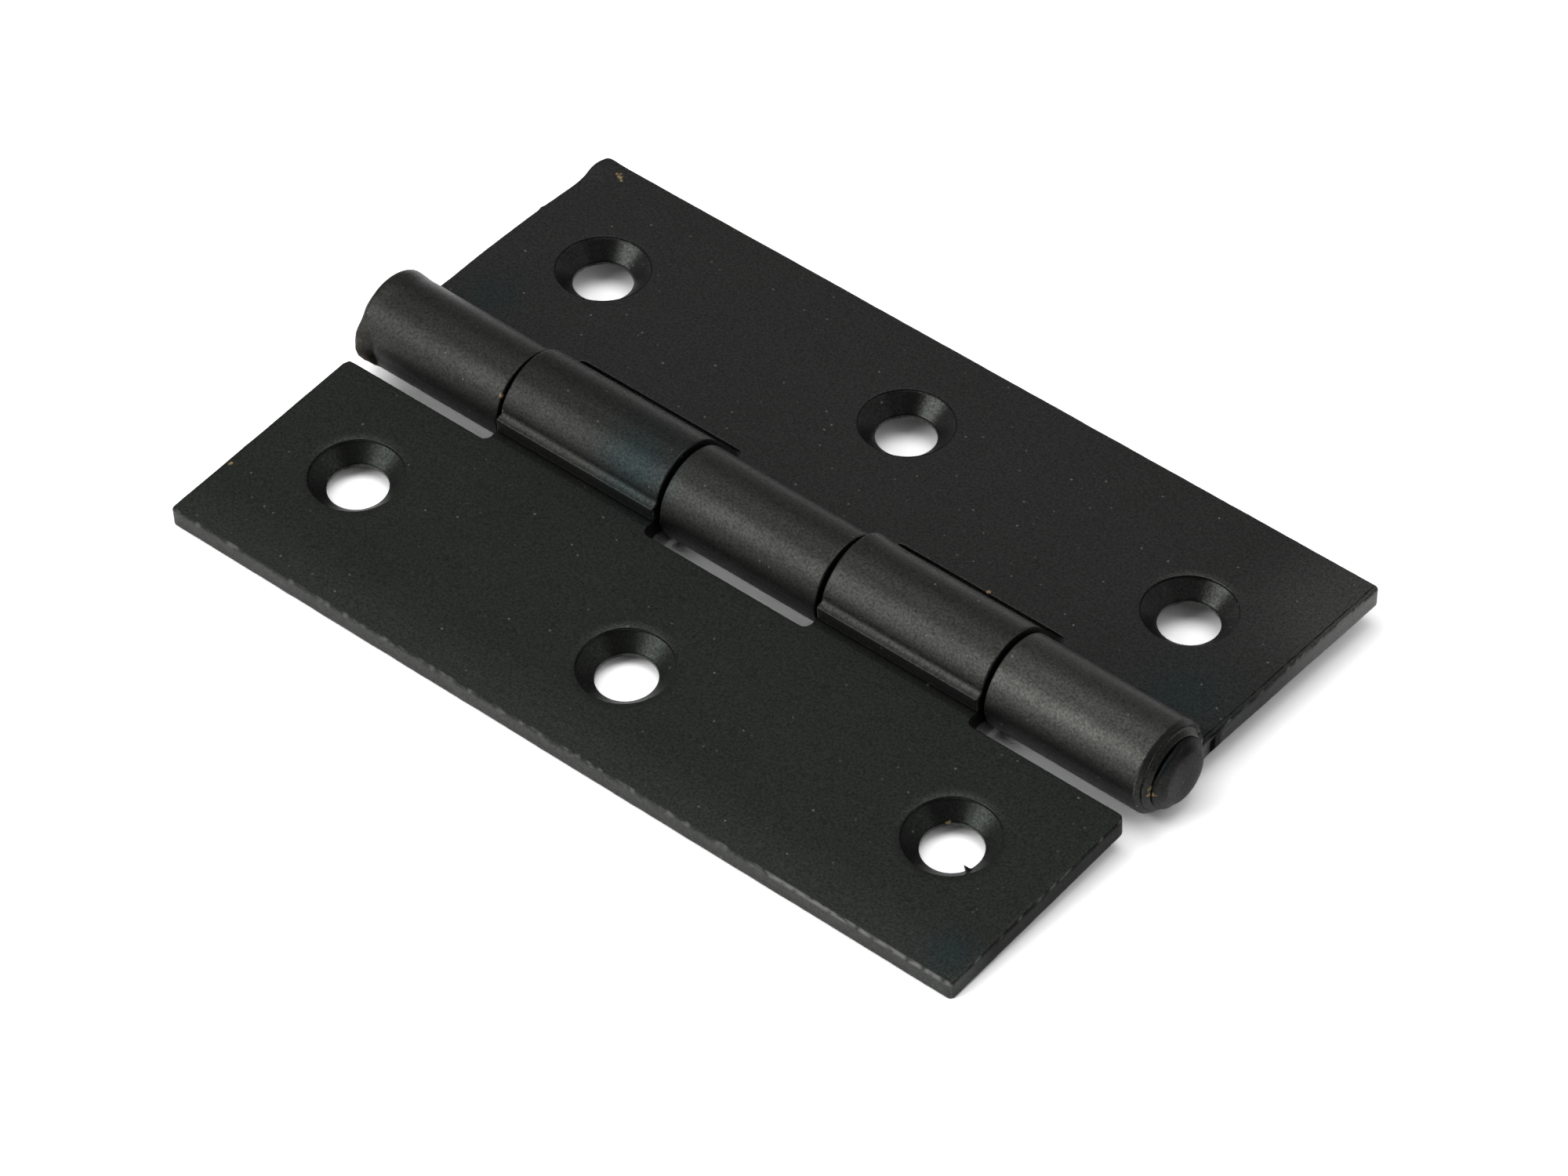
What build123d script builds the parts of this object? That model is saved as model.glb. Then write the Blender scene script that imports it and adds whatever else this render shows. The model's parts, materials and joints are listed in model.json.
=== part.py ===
from build123d import *
import math
import os

# A steel butt hinge with a fixed pin, lying open on a table.
# Each leaf is one pressed sheet: its inner edge is cranked down, passes under the pin and is
# rolled over it into knuckles, and the end of the roll sits on the leaf's own face in a short toe.
# X runs along the pin, +Y points to the frame leaf, +Z is up and the table is at z = 0.

# Leaves
hinge_length = 76.2
open_width = 50.8
sheet_thickness = 1.7
closed_gap = 0.4
leaf_corner_radius = 0.5
face_edge_radius = 0.25

# Pin, riveted over at both ends
pin_diameter = 4.3
pin_clearance = 0.04
pin_head_diameter = 5.9
pin_head_height = 1.05
pin_head_crown = 0.15
pin_head_bevel = 0.4
pin_head_rim = 0.2
pin_head_seat = 0.05

# Knuckles
end_knuckle_length = 14.4
knuckle_gap = 0.4
barrel_end_radius = 0.45
knuckle_edge_bevel = 0.2
crank_radius = 1.0
frame_notch_clearance = 2.1
door_notch_clearance = 1.55
notch_corner_radius = 0.6

# Toe at the end of each roll
toe_proud = 0.28
toe_height = 1.35
toe_ledge_rise = 0.35
toe_seat_gap = 0.08

# Screw holes, with countersinks pressed into the leaf's face, the middle one set back
hole_diameter = 4.8
hole_land = 0.35
countersink_diameter = 7.5
countersink_step = 0.2
countersink_lip_width = 0.45
countersink_lip_depth = 0.1
end_hole_spacing = 58.4
end_hole_setback = 14.5
middle_hole_setback = 16.5

# Levels and reaches from the pin axis, in a leaf's own section: u outwards, v up
half_length = hinge_length / 2
leaf_reach = open_width / 2
bore_radius = pin_diameter / 2 + pin_clearance
knuckle_radius = bore_radius + sheet_thickness
face_level = -closed_gap / 2
back_level = face_level - sheet_thickness
frame_notch_reach = knuckle_radius + frame_notch_clearance
door_notch_reach = knuckle_radius + door_notch_clearance
toe_reach = knuckle_radius + toe_proud

# The door leaf lies with its outer back edge on the table, the frame leaf is level
edge_radius = math.hypot(leaf_reach, back_level)
edge_angle = math.asin(knuckle_radius / edge_radius) - math.atan2(-back_level, leaf_reach)
door_tilt = math.degrees(edge_angle)

# Five knuckles along the pin: the odd ones on the frame leaf, the even ones on the door leaf
knuckle_count = 5
inner_knuckles = knuckle_count - 2
gaps_total = (knuckle_count - 1) * knuckle_gap
inner_knuckle_length = (hinge_length - 2 * end_knuckle_length - gaps_total) / inner_knuckles


def knuckle_spans():
    """Start and length along X of each knuckle, from the left end."""
    spans = []
    start = -half_length
    for index in range(knuckle_count):
        at_end = index in (0, knuckle_count - 1)
        length = end_knuckle_length if at_end else inner_knuckle_length
        spans.append((start, length))
        start += length + knuckle_gap
    return spans


def on_circle(radius, angle):
    """Point of a circle about the pin axis, in the leaf's section."""
    return (radius * math.cos(angle), radius * math.sin(angle))


def knuckle_section(notch_reach):
    """The rolled sheet cut across the pin, from the notch line round to the toe."""
    crank_v = back_level - crank_radius
    crank_u = math.sqrt((crank_radius + knuckle_radius) ** 2 - crank_v**2)
    crank_angle = math.atan2(crank_v, crank_u)
    turn = 90 + math.degrees(crank_angle)
    tail_level = face_level + toe_seat_gap
    bore_end = math.asin(tail_level / bore_radius)
    toe_top = face_level + toe_height
    ledge_angle = math.asin((toe_top + toe_ledge_rise) / knuckle_radius)
    bore_sweep = 360 + math.degrees(crank_angle - bore_end)
    barrel_sweep = 360 + math.degrees(crank_angle - ledge_angle)
    to_axis = 180 + math.degrees(crank_angle)
    outline = [
        Line((notch_reach, face_level), (crank_u, face_level)),
        CenterArc((crank_u, crank_v), crank_radius + sheet_thickness, 90, turn),
        CenterArc((0, 0), bore_radius, math.degrees(crank_angle), -bore_sweep),
        Line(on_circle(bore_radius, bore_end), (toe_reach, tail_level)),
        Line((toe_reach, tail_level), (toe_reach, toe_top)),
        Line((toe_reach, toe_top), on_circle(knuckle_radius, ledge_angle)),
        CenterArc((0, 0), knuckle_radius, math.degrees(ledge_angle), barrel_sweep),
        CenterArc((crank_u, crank_v), crank_radius, to_axis, -turn),
        Line((crank_u, back_level), (notch_reach, back_level)),
        Line((notch_reach, back_level), (notch_reach, face_level)),
    ]
    return make_face(Curve() + outline)


def knuckle(start, length, notch_reach):
    """One knuckle, its outer edges rounded at an end of the hinge and bevelled between knuckles."""
    solid = extrude(Plane.YZ.offset(start) * knuckle_section(notch_reach), amount=length)
    for end in (start, start + length):
        rims = solid.edges().filter_by(GeomType.CIRCLE)
        rims = rims.filter_by(lambda edge: math.isclose(edge.radius, knuckle_radius))
        rims = rims.filter_by(lambda edge: math.isclose(edge.center().X, end))
        if math.isclose(abs(end), half_length):
            solid = fillet(rims, barrel_end_radius)
        else:
            solid = chamfer(rims, knuckle_edge_bevel)
    return solid


def plate_plan(spans, notch_reach):
    """Outline of a leaf's flat part: notched between its knuckles, with rounded corners."""
    width = leaf_reach - notch_reach
    plan = Pos(0, notch_reach + width / 2) * Rectangle(hinge_length, width)
    for start, length in spans:
        tongue = Rectangle(length, 2 * notch_corner_radius)
        plan += Pos(start + length / 2, notch_reach) * tongue
    on_outer_edge = plan.vertices().filter_by(lambda v: math.isclose(v.Y, leaf_reach))
    plan = fillet(on_outer_edge, leaf_corner_radius)
    on_notch_line = plan.vertices().filter_by(lambda v: math.isclose(v.Y, notch_reach))
    return fillet(on_notch_line, notch_corner_radius)


def hole_places():
    """Centres of the three screw holes on a leaf's plan."""
    end_x = end_hole_spacing / 2
    return [
        (-end_x, end_hole_setback),
        (0, middle_hole_setback),
        (end_x, end_hole_setback),
    ]


def screw_hole():
    """Cutter for one hole: a bevelled lip on the leaf's face, a short step, the cone and the land."""
    hole_radius = hole_diameter / 2
    sink_radius = countersink_diameter / 2
    step_top = face_level - countersink_lip_depth
    profile = Polyline(
        (0, face_level),
        (sink_radius + countersink_lip_width, face_level),
        (sink_radius, step_top),
        (sink_radius, step_top - countersink_step),
        (hole_radius, back_level + hole_land),
        (hole_radius, back_level),
        (0, back_level),
        close=True,
    )
    return revolve(Plane.XZ * make_face(profile), Axis.Z)


def plate(spans, notch_reach):
    """A leaf's flat part with its screw holes, soft at the face's outer edges."""
    plan = plate_plan(spans, notch_reach)
    solid = extrude(Plane.XY.offset(back_level) * plan, amount=sheet_thickness)
    face_edges = solid.faces().sort_by(Axis.Z)[-1].edges()
    outside = face_edges.filter_by(lambda edge: edge.center().Y > notch_reach + notch_corner_radius)
    solid = fillet(outside, face_edge_radius)
    for x, y in hole_places():
        solid -= Pos(x, y) * screw_hole()
    return solid


def leaf(spans, notch_reach):
    """A whole leaf about the pin axis, with its plate towards +Y."""
    solid = plate(spans, notch_reach)
    for start, length in spans:
        solid += knuckle(start, length, notch_reach)
    return solid


def hinge_pin():
    """The pin about its axis: a straight shank with a bevelled, slightly domed head at each end."""
    shank = pin_diameter / 2
    head = pin_head_diameter / 2
    crown = head - pin_head_bevel
    seat = half_length + pin_head_seat
    tip = half_length + pin_head_height
    crown_start = tip - pin_head_crown
    rim_end = crown_start - pin_head_bevel
    crown_bulge = (crown**2 + pin_head_crown**2) / (2 * pin_head_crown)
    outline = [
        Line((0, 0), (0, shank)),
        Line((0, shank), (seat, shank)),
        Line((seat, shank), (rim_end - pin_head_rim, head)),
        Line((rim_end - pin_head_rim, head), (rim_end, head)),
        Line((rim_end, head), (crown_start, crown)),
        RadiusArc((crown_start, crown), (tip, 0), crown_bulge),
        Line((tip, 0), (0, 0)),
    ]
    half = revolve(make_face(Curve() + outline), Axis.X)
    return half + mirror(half, about=Plane.YZ)


barrel = knuckle_spans()
at_pin = Pos(0, 0, knuckle_radius)
nodes = {
    "frame_leaf": at_pin * leaf(barrel[0::2], frame_notch_reach),
    "door_leaf": at_pin * Rot(X=door_tilt) * Rot(Z=180) * leaf(barrel[1::2], door_notch_reach),
    "hinge_pin": at_pin * hinge_pin(),
}

os.makedirs("parts", exist_ok=True)
for name, solid in nodes.items():
    export_step(solid, f"parts/{name}.step")
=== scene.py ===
import json
import math

import bmesh
import bpy
import numpy as np
from mathutils import Matrix, Vector, noise


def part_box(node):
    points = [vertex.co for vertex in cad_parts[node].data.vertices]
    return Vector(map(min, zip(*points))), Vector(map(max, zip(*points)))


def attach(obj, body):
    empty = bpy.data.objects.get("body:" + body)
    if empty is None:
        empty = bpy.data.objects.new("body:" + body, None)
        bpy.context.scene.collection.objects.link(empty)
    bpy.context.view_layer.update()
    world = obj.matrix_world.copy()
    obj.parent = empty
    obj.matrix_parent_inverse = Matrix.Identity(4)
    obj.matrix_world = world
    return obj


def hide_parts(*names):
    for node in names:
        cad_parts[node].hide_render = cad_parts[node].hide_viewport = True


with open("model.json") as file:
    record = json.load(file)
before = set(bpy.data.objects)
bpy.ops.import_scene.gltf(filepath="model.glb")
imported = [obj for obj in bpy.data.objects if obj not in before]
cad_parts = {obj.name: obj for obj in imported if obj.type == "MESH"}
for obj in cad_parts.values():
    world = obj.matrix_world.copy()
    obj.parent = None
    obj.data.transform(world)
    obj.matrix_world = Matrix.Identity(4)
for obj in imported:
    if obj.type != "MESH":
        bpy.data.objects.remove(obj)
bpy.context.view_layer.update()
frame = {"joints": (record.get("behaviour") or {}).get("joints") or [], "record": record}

# Sizes are in millimetres. Each leaf is meshed in its own section: x along the pin, u outwards
# from the pin axis and v up, as it lies when the leaf is level. The door leaf is the same section
# turned half round, so its own x runs against the frame's.
MM = 0.001

# Sizes read from the frame
mounts = {mount["name"]: mount for mount in frame["record"]["mounts"]}
pin_height = frame["joints"][0]["pos_m"][2] / MM
leaf_low, leaf_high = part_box("frame_leaf")
half_length = leaf_high.x / MM
leaf_reach = leaf_high.y / MM
knuckle_radius = -leaf_low.y / MM
back_level = mounts["frame_leaf_back"]["pos_m"][2] / MM - pin_height
end_hole_spacing = mounts["frame_end_holes"]["dims"]["spacing_x_mm"]
end_hole_setback = mounts["frame_end_holes"]["pos_m"][1] / MM
middle_hole_setback = mounts["frame_middle_hole"]["pos_m"][1] / MM
hole_radius = mounts["frame_middle_hole"]["dims"]["r_mm"]
hole_land = mounts["frame_middle_hole"]["dims"]["length_mm"]
door_up = mounts["door_middle_hole"]["axis"]
door_tilt = math.atan2(-door_up[1], door_up[2])
pin_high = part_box("hinge_pin")[1]
pin_tip = pin_high.x / MM
pin_head_radius = pin_high.y / MM

# Sizes of the rolled sheet and the pin: most as in the solids, the toe and the frame leaf's notch a
# little closer to the photo
sheet_thickness = 1.7
crank_radius = 1.0
frame_notch_clearance = 2.02
door_notch_clearance = 1.55
notch_corner_radius = 0.6
leaf_corner_radius = 0.5
toe_proud = 0.28
toe_height = 1.25
toe_ledge_rise = 0.2
toe_seat_gap = 0.08
pin_radius = 2.15
pin_neck = 1.0
pin_head_seat = 0.05
pin_head_dome = 0.62
pin_head_rim = 0.15
pin_head_draft = 0.04

# Sizes of the pressed holes
countersink_radius = 3.75
countersink_step = 0.2
countersink_lip_width = 0.45
countersink_lip_depth = 0.1
stepless_lip_share = 0.5
step_draft = 0.03

# The five knuckles along x, as the worn hinge has them: the first gap is narrower than the others
knuckle_spans = (
    (-half_length, -24.0),
    (-23.72, -8.05),
    (-7.62, 7.62),
    (8.05, 23.3),
    (23.7, half_length),
)

# Each leaf's three pressed holes along its own x: how far they are off their places in x and u,
# and the depth of the countersink's step as a share of the full one
frame_holes = ((-0.45, 0.42, 0.0), (-0.27, 0.0, 0.0), (-0.45, -0.25, 0.8))
door_holes = ((-0.1, -0.02, 1.0), (0.19, -0.14, 1.0), (-0.02, -0.36, 1.0))

# Softness of the edges, where that of a hole's step is a share of the step
face_edge_radius = 0.25
door_outer_radius = 0.13
back_edge_radius = 0.1
notch_edge_radius = 0.07
tongue_edge_radius = 0.1
knuckle_edge_radius = 0.12
left_end_radius = 0.4
right_end_radius = 0.01
right_bevel_length = 0.8
right_bevel_depth = 0.85
bevel_fade = 1.0
bevel_levels = (-1.0, -0.2)
toe_softness = 0.09
toe_flare = 0.05
toe_flare_rise = 3 * toe_flare
ledge_groove = 0.12
groove_angle = 0.2
lip_softness = 0.25
lip_foot_softness = 0.12
step_top_softness = 0.45
step_foot_softness = 0.3
land_softness = 0.1
hole_edge_softness = 0.06
pin_head_softness = (0.08, 0.1)
dome_power = 3

# The door knuckles' rolls stand a little high at the back, between these angles round the roll
door_roll_lean = 0.2
lean_start = math.radians(90)
lean_full = math.radians(160)
lean_fade = 1.0

# Fineness of the meshes
grid_step = 0.36
hole_step = grid_step / 1.5
pin_step = 0.18
edge_places = (0.0, 0.03, 0.08, 0.16, 0.27, 0.42)
wall_shares = np.linspace(0, 1, 7)
inner_shares = np.array((0.0, 0.4, 0.7, 0.86, 0.95, 1.0))
corner_shares = (0.25, 0.5, 0.75, 1.0)
rim_shares = (0.0, 0.4, 0.75)
foot_shares = (0.15, 0.35, 0.6, 0.8, 1.0)
tongue_points = 4
crank_points = 9
dome_points = 16
shank_rings = 100
shank_margin = 1.4
pin_sides = 96
hole_block = 5.4
hole_margin = 0.3
weld_distance = 0.004
same_place = 1e-6
on_corner = 1e-9

# Levels and reaches that follow
face_level = back_level + sheet_thickness
bore_radius = knuckle_radius - sheet_thickness
toe_reach = knuckle_radius + toe_proud
frame_notch = knuckle_radius + frame_notch_clearance
door_notch = knuckle_radius + door_notch_clearance
even_grid_margin = 1.5 * notch_corner_radius


def rise(value, start, end):
    """Goes smoothly from 0 at start to 1 at end."""
    share = np.clip((value - start) / (end - start), 0, 1)
    return share * share * (3 - 2 * share)


def places(start, end):
    """Places from start to end about a grid step apart, closing up towards both ends."""
    sign = 1 if end > start else -1
    fine = sign * np.array(edge_places)
    count = max(1, round(abs(end - start - 2 * fine[-1]) / grid_step))
    middle = np.linspace(start + fine[-1], end - fine[-1], count + 1)
    return np.concatenate([start + fine[:-1], middle, end - fine[-2::-1]])


def edge_drop(distance, radius):
    """How far a rounded edge has fallen away at a distance from the edge."""
    near = radius - np.clip(distance, 0, radius)
    return radius - np.sqrt(np.maximum(radius**2 - near**2, 0))


def on_circle(centre, radius, angles):
    """Points of a circle in the section, at angles in radians."""
    return np.stack([centre[0] + radius * np.cos(angles), centre[1] + radius * np.sin(angles)], -1)


def softened(corners, softness, step):
    """A line through corners with each inner one bent softly, in points about a step apart."""
    corners = np.array(corners, float)
    line = [corners[0]]
    for before, corner, after, soft in zip(corners, corners[1:], corners[2:], softness):
        first = corner + soft * (before - corner) / np.linalg.norm(before - corner)
        last = corner + soft * (after - corner) / np.linalg.norm(after - corner)
        line += straight_run(line[-1], first, step)
        for t in corner_shares:
            line.append((1 - t) ** 2 * first + 2 * t * (1 - t) * corner + t**2 * last)
    return np.array(line + straight_run(line[-1], corners[-1], step))


def straight_run(start, end, step):
    """Points of a straight line after its start, about a step apart."""
    count = max(1, round(np.linalg.norm(end - start) / step))
    return [start + (end - start) * share for share in np.linspace(0, 1, count + 1)[1:]]


def rolled_section(tongue_root, lean):
    """Matching points on the two sides of the rolled sheet, from the tongue's root to the toe.

    The inner side is the leaf's face, the crank and the bore; the outer side is its back, the
    barrel and the toe. A leaning roll stands out at its back and top.
    """
    crank_v = back_level - crank_radius
    crank_u = math.sqrt((crank_radius + knuckle_radius) ** 2 - crank_v**2)
    crank_angle = math.atan2(crank_v, crank_u)
    crank_centre = (crank_u, crank_v)
    toe_top = face_level + toe_height
    tail_level = face_level + toe_seat_gap
    ledge_angle = math.asin((toe_top + toe_ledge_rise) / knuckle_radius) - 2 * math.pi
    tail_angle = math.asin(tail_level / bore_radius) - 2 * math.pi

    straight = np.linspace(tongue_root, crank_u, tongue_points)[:-1]
    bend = np.linspace(math.pi / 2, math.pi + crank_angle, crank_points)[:-1]
    roll_count = round(knuckle_radius * (crank_angle - ledge_angle) / grid_step)
    roll = np.linspace(crank_angle, ledge_angle, roll_count + 1)
    leaning = rise(-roll, lean_start, lean_full)
    leaning *= rise(roll, ledge_angle, ledge_angle + lean_fade)
    groove = ledge_groove * (1 - rise(roll, ledge_angle, ledge_angle + groove_angle))
    barrel = on_circle((0, 0), knuckle_radius - groove, roll)
    barrel += lean * leaning[:, None] * np.array((-1, 1))
    toe = softened(
        [
            on_circle((0, 0), knuckle_radius - ledge_groove, np.array(ledge_angle)),
            (toe_reach, toe_top),
            (toe_reach, tail_level + toe_flare_rise),
            (toe_reach + toe_flare, tail_level),
        ],
        (toe_softness, toe_flare),
        grid_step,
    )[1:]
    tail = np.linspace(ledge_angle, tail_angle, len(toe) + 1)[1:]

    inner = np.concatenate([
        np.stack([straight, np.full_like(straight, face_level)], -1),
        on_circle(crank_centre, crank_radius + sheet_thickness, bend),
        on_circle((0, 0), bore_radius, roll),
        on_circle((0, 0), bore_radius, tail),
    ])
    outer = np.concatenate([
        np.stack([straight, np.full_like(straight, back_level)], -1),
        on_circle(crank_centre, crank_radius, bend),
        barrel,
        toe,
    ])
    fade = np.clip(np.arange(len(inner)) / (len(straight) + len(bend)), 0, 1)
    return inner, outer, fade


class Skin:
    """Collects patches of quads and welds them into one closed mesh."""

    def __init__(self):
        self.points = []
        self.quads = []
        self.count = 0

    def patch(self, grid, keep=None):
        """Adds a grid of points (rows, columns, 3) as quads, only the cells in keep if given."""
        rows, columns = grid.shape[:2]
        numbers = self.count + np.arange(rows * columns).reshape(rows, columns)
        corners = (numbers[:-1, :-1], numbers[1:, :-1], numbers[1:, 1:], numbers[:-1, 1:])
        quads = np.stack(corners, -1)
        if keep is not None:
            quads = quads[keep]
        self.points.append(grid.reshape(-1, 3))
        self.quads.append(quads.reshape(-1, 4))
        self.count += rows * columns

    def mesh(self, name):
        """The welded mesh, still in millimetres."""
        points, quads = np.concatenate(self.points), np.concatenate(self.quads)
        made = bpy.data.meshes.new(name)
        made.from_pydata(points.tolist(), [], quads.tolist())
        work = bmesh.new()
        work.from_mesh(made)
        bmesh.ops.remove_doubles(work, verts=work.verts, dist=weld_distance)
        loose = [vert for vert in work.verts if not vert.link_faces]
        bmesh.ops.delete(work, geom=loose, context="VERTS")
        bmesh.ops.recalc_face_normals(work, faces=work.faces)
        work.to_mesh(made)
        work.free()
        return made


class LeafPlan:
    """The flat part of a leaf as a grid of places, with its edges, corners and knuckle columns."""

    def __init__(self, spans, notch_reach, outer_radius, creases):
        self.spans = spans
        self.notch_reach = notch_reach
        self.outer_radius = outer_radius
        self.tongue_root = notch_reach - notch_corner_radius
        self.ends = [end for span in spans for end in span]
        marks = sorted({-half_length, half_length, *creases, *self.ends})
        pieces = [places(low, high) for low, high in zip(marks, marks[1:])]
        self.columns = np.concatenate([pieces[0]] + [piece[1:] for piece in pieces[1:]])
        self.inner_edge = self.notch_edge()
        grid_reach = notch_reach + even_grid_margin
        outer = places(leaf_reach, grid_reach)
        inner = grid_reach + np.outer(self.inner_edge - grid_reach, inner_shares[1:])
        self.u = np.concatenate([np.tile(outer, (len(self.columns), 1)), inner], axis=1)
        self.x = np.tile(self.columns[:, None], (1, self.u.shape[1]))
        self.outer_rows = outer
        self.drops()
        self.round_corners()

    def in_knuckle(self, x):
        """Which places along x lie on a knuckle, its two ends included."""
        return np.any([(x >= start) & (x <= end) for start, end in self.spans], axis=0)

    def notch_edge(self):
        """Where the flat part ends towards the pin, at each column."""
        edge = np.full(len(self.columns), self.notch_reach)
        for start, end in self.spans:
            distance = np.maximum(start - self.columns, self.columns - end)
            reach = edge_drop(np.maximum(distance, 0), notch_corner_radius)
            edge = np.minimum(edge, self.notch_reach - reach)
        return edge

    def drops(self):
        """How far the face and the back round off at the leaf's edges."""
        from_side, from_outer = half_length - np.abs(self.x), leaf_reach - self.u
        outside = np.minimum(from_side, from_outer)
        from_notch = self.u - self.inner_edge[:, None]
        at_end = np.any([np.isclose(self.columns, end) for end in self.ends], axis=0)
        inside_leaf = np.abs(self.columns) < half_length - same_place
        solid = self.in_knuckle(self.columns) & ~(at_end & inside_leaf)
        from_notch[solid] = half_length
        side_drop = edge_drop(from_side, face_edge_radius)
        outer_drop = edge_drop(from_outer, self.outer_radius)
        notch_drop = edge_drop(from_notch, notch_edge_radius)
        self.face_drop = np.maximum(np.maximum(side_drop, outer_drop), notch_drop)
        self.back_drop = edge_drop(np.minimum(outside, from_notch), back_edge_radius)

    def round_corners(self):
        """Moves the places at the leaf's corners onto their arcs."""
        for side in (-1, 1):
            self.round_corner(side, leaf_reach, 1, leaf_corner_radius)
            if not self.in_knuckle(np.array([side * half_length]))[0]:
                self.round_corner(side, self.notch_reach, -1, notch_corner_radius)

    def round_corner(self, side, corner_u, outward, radius):
        """Moves the places at one corner from their square grid onto its arc."""
        centre_x = side * (half_length - radius)
        centre_u = corner_u - outward * radius
        s = side * (self.x - centre_x) / radius
        t = outward * (self.u - centre_u) / radius
        inside = (s > on_corner) & (t > on_corner)
        scale = np.maximum(s, t)[inside] / np.hypot(s, t)[inside]
        self.x[inside] = centre_x + side * radius * s[inside] * scale
        self.u[inside] = centre_u + outward * radius * t[inside] * scale

    def surfaces(self):
        """The face and the back as grids of points."""
        face = np.stack([self.x, self.u, face_level - self.face_drop], -1)
        back = np.stack([self.x, self.u, back_level + self.back_drop], -1)
        return face, back


def hole_places():
    """The regular places of a leaf's three screw holes."""
    return [
        (-end_hole_spacing / 2, end_hole_setback),
        (0.0, middle_hole_setback),
        (end_hole_spacing / 2, end_hole_setback),
    ]


def hole_centres(holes):
    """Where a leaf's three screw holes really are."""
    return [
        (x + off_x, u + off_u)
        for (x, u), (off_x, off_u, step) in zip(hole_places(), holes)
    ]


def hole_profile(step):
    """Radius and level down a pressed countersink and its land, from the face to the back."""
    lip_share = 1.0 if step > 0 else stepless_lip_share
    lip_reach = countersink_radius + lip_share * countersink_lip_width
    lip_foot = face_level - lip_share * countersink_lip_depth
    corners = [
        (lip_reach + hole_margin, face_level),
        (lip_reach, face_level),
        (countersink_radius, lip_foot),
    ]
    softness = [lip_softness, lip_foot_softness]
    if step > 0:
        corners.append((countersink_radius - step_draft, lip_foot - step))
        softness[-1] = step * step_top_softness
        softness.append(step * step_foot_softness)
    corners += [
        (hole_radius, back_level + hole_land),
        (hole_radius, back_level),
        (hole_radius + hole_margin, back_level),
    ]
    return softened(corners, softness + [land_softness, hole_edge_softness], hole_step)


def add_hole(skin, plan, face, block, centre, step):
    """Fills the block of cells left out round a hole with rings that run down through it."""
    columns = slice(*block_range(plan.columns, block[0]))
    rows = slice(*block_range(-plan.outer_rows, -block[1]))
    loop = ring_of(face[columns, rows])[:, :2]
    away = loop - np.array(centre)
    away /= np.linalg.norm(away, axis=1)[:, None]
    rings = []
    profile = hole_profile(step)
    rim = np.array(centre) + profile[0][0] * away
    for share in rim_shares:
        rings.append(level_ring(loop + (rim - loop) * share, face_level))
    for radius, level in profile:
        rings.append(level_ring(np.array(centre) + radius * away, level))
    foot = np.array(centre) + profile[-1][0] * away
    for share in foot_shares:
        rings.append(level_ring(foot + (loop - foot) * share, back_level))
    skin.patch(np.stack(rings))


def block_range(line, middle):
    """First and last index of the places within a hole's block, as a slice takes them."""
    inside = np.flatnonzero(np.abs(line - middle) <= hole_block)
    return inside[0], inside[-1] + 1


def ring_of(block):
    """The outline of a block of grid points as one closed loop."""
    return np.concatenate([block[:-1, 0], block[-1, :-1], block[:0:-1, -1], block[0, ::-1]])


def level_ring(places_xy, level):
    """A loop of plan places at one level."""
    return np.concatenate([places_xy, np.full((len(places_xy), 1), level)], axis=1)


def wall(top, bottom):
    """A strip of points from one line of the face down to the matching line of the back."""
    return top[None] + (bottom - top)[None] * wall_shares[:, None, None]


def add_plate(skin, plan, holes):
    """The leaf's face, back, holes and cut edges."""
    face, back = plan.surfaces()
    keep = np.ones((face.shape[0] - 1, face.shape[1] - 1), bool)
    for (x, u), centre, hole in zip(hole_places(), hole_centres(holes), holes):
        first_column, end_column = block_range(plan.columns, x)
        first_row, end_row = block_range(-plan.outer_rows, -u)
        keep[first_column:end_column - 1, first_row:end_row - 1] = False
        add_hole(skin, plan, face, (x, u), centre, hole[2] * countersink_step)
    skin.patch(face, keep)
    skin.patch(back, keep)
    for column in (0, -1):
        skin.patch(wall(face[column], back[column]))
    skin.patch(wall(face[:, 0], back[:, 0]))
    notch_edge = wall(face[:, -1], back[:, -1])
    middles = (plan.columns[1:] + plan.columns[:-1]) / 2
    in_notch = ~plan.in_knuckle(middles)
    skin.patch(notch_edge, np.tile(in_notch, (len(wall_shares) - 1, 1)))


def end_radius(end):
    """Rounding of a knuckle's outer edge, where the hinge's two ends have their own."""
    if not math.isclose(abs(end), half_length, abs_tol=same_place):
        return knuckle_edge_radius
    return left_end_radius if end < 0 else right_end_radius


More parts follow.
